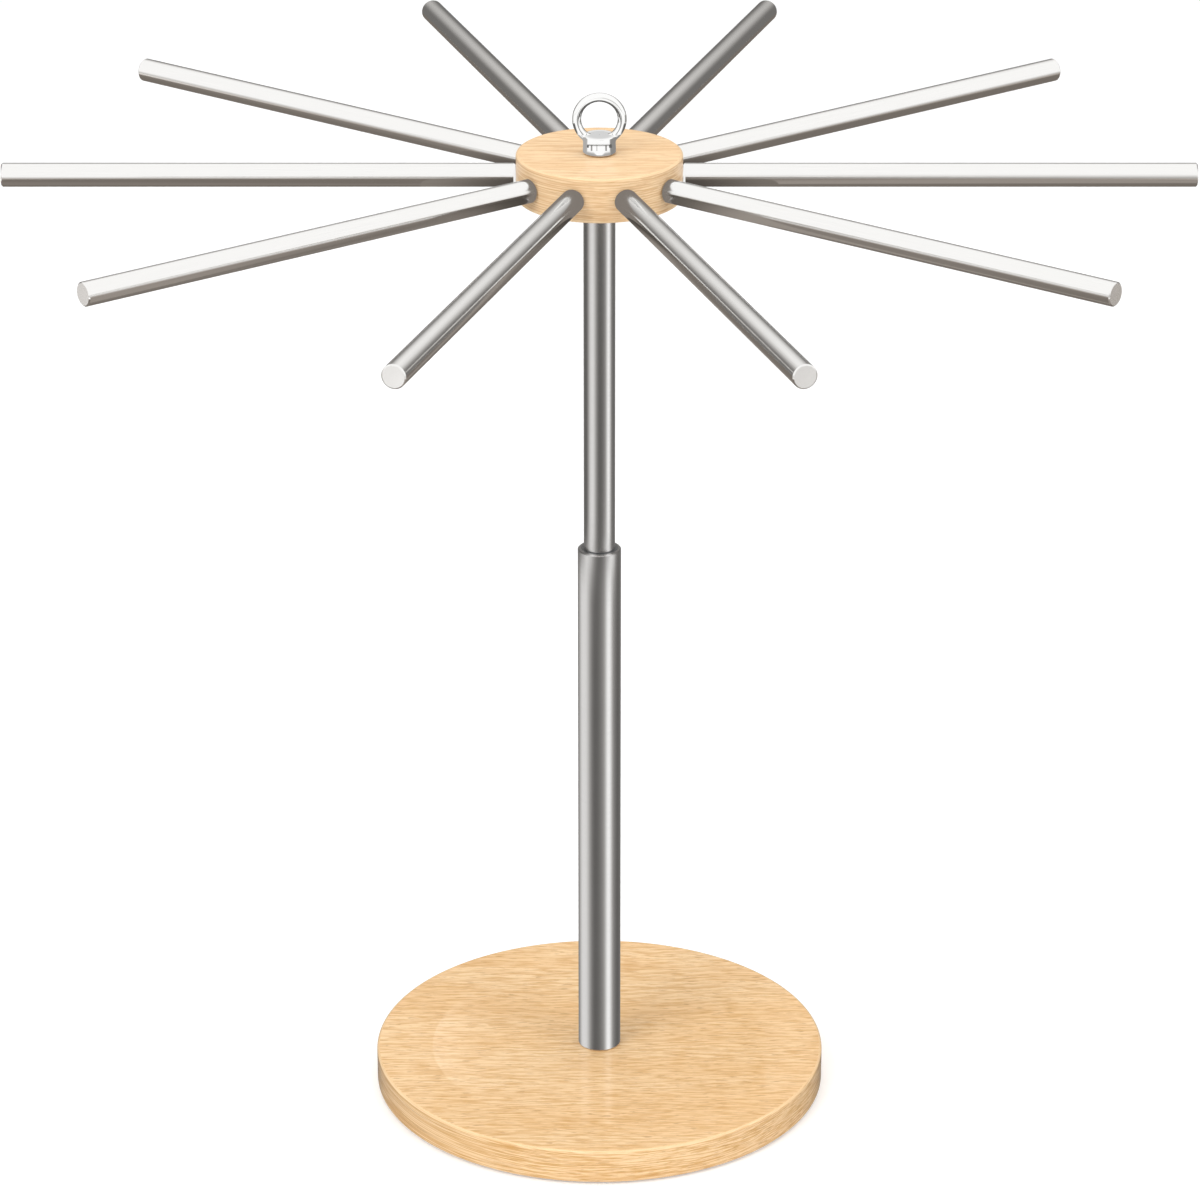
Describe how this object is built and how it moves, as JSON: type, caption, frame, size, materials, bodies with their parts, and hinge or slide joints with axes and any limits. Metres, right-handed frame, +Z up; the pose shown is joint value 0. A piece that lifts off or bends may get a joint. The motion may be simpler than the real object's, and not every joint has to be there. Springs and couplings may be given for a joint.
{
  "type": "pasta drying rack",
  "caption": "Free-standing pasta drying rack: round oak base, two-part steel pole, turning oak hub with radial steel rods that screw out, and an eye nut on top to carry it.",
  "frame": {"origin": "on the table, under the centre of the base", "axes": "+Z up along the pole, +X along rod_01, +Y away from the picture's camera"},
  "size_m": [0.4, 0.3826, 0.37],
  "materials": {
    "oak_base": "light oak, satin lacquer",
    "oak_hub": "light oak, satin lacquer",
    "pole_steel": "satin",
    "rod_steel": "polished",
    "eye_steel": "polished",
    "hidden_steel": "zinc plated",
    "bush_brass": "turned",
    "thrust_plastic": "matt",
    "foot_rubber": "matt"
  },
  "bodies": {
    "stand": {"base_disc": "oak_base", "base_foot_1": "foot_rubber", "base_foot_2": "foot_rubber", "base_foot_3": "foot_rubber", "base_foot_4": "foot_rubber", "base_screw": "hidden_steel", "base_washer": "hidden_steel", "lower_tube": "pole_steel", "lower_tube_bottom_plug": "hidden_steel", "lower_tube_top_plug": "hidden_steel", "joint_stud": "hidden_steel", "upper_tube": "pole_steel", "upper_tube_bottom_plug": "hidden_steel", "upper_tube_top_plug": "hidden_steel", "top_stud": "hidden_steel", "hub_bush": "bush_brass", "thrust_washer": "thrust_plastic"},
    "hub": {"hub": "oak_hub"},
    "rod_01": {"rod_01": "rod_steel"},
    "rod_02": {"rod_02": "rod_steel"},
    "rod_03": {"rod_03": "rod_steel"},
    "rod_04": {"rod_04": "rod_steel"},
    "rod_05": {"rod_05": "rod_steel"},
    "rod_06": {"rod_06": "rod_steel"},
    "rod_07": {"rod_07": "rod_steel"},
    "rod_08": {"rod_08": "rod_steel"},
    "rod_09": {"rod_09": "rod_steel"},
    "rod_10": {"rod_10": "rod_steel"},
    "eye_nut": {"eye_nut": "eye_steel"}
  },
  "joints": [
    {"name": "hub_spin", "type": "hinge", "parent": "stand", "child": "hub", "pos_m": [0, 0, 0.3414], "axis": [0, 0, 1], "continuous": true},
    {"name": "eye_nut_turn", "type": "hinge", "parent": "stand", "child": "eye_nut", "pos_m": [0, 0, 0.3494], "axis": [0, 0, 1], "continuous": true},
    {"name": "rod_01_pull", "type": "slide", "parent": "hub", "child": "rod_01", "axis": [1, 0, 0], "range_m": [0, 0.012]},
    {"name": "rod_02_pull", "type": "slide", "parent": "hub", "child": "rod_02", "axis": [0.809, 0.5878, 0], "range_m": [0, 0.012]},
    {"name": "rod_03_pull", "type": "slide", "parent": "hub", "child": "rod_03", "axis": [0.309, 0.9511, 0], "range_m": [0, 0.012]},
    {"name": "rod_04_pull", "type": "slide", "parent": "hub", "child": "rod_04", "axis": [-0.309, 0.9511, 0], "range_m": [0, 0.012]},
    {"name": "rod_05_pull", "type": "slide", "parent": "hub", "child": "rod_05", "axis": [-0.809, 0.5878, 0], "range_m": [0, 0.012]},
    {"name": "rod_06_pull", "type": "slide", "parent": "hub", "child": "rod_06", "axis": [-1, 0, 0], "range_m": [0, 0.012]},
    {"name": "rod_07_pull", "type": "slide", "parent": "hub", "child": "rod_07", "axis": [-0.809, -0.5878, 0], "range_m": [0, 0.012]},
    {"name": "rod_08_pull", "type": "slide", "parent": "hub", "child": "rod_08", "axis": [-0.309, -0.9511, 0], "range_m": [0, 0.012]},
    {"name": "rod_09_pull", "type": "slide", "parent": "hub", "child": "rod_09", "axis": [0.309, -0.9511, 0], "range_m": [0, 0.012]},
    {"name": "rod_10_pull", "type": "slide", "parent": "hub", "child": "rod_10", "axis": [0.809, -0.5878, 0], "range_m": [0, 0.012]}
  ]
}
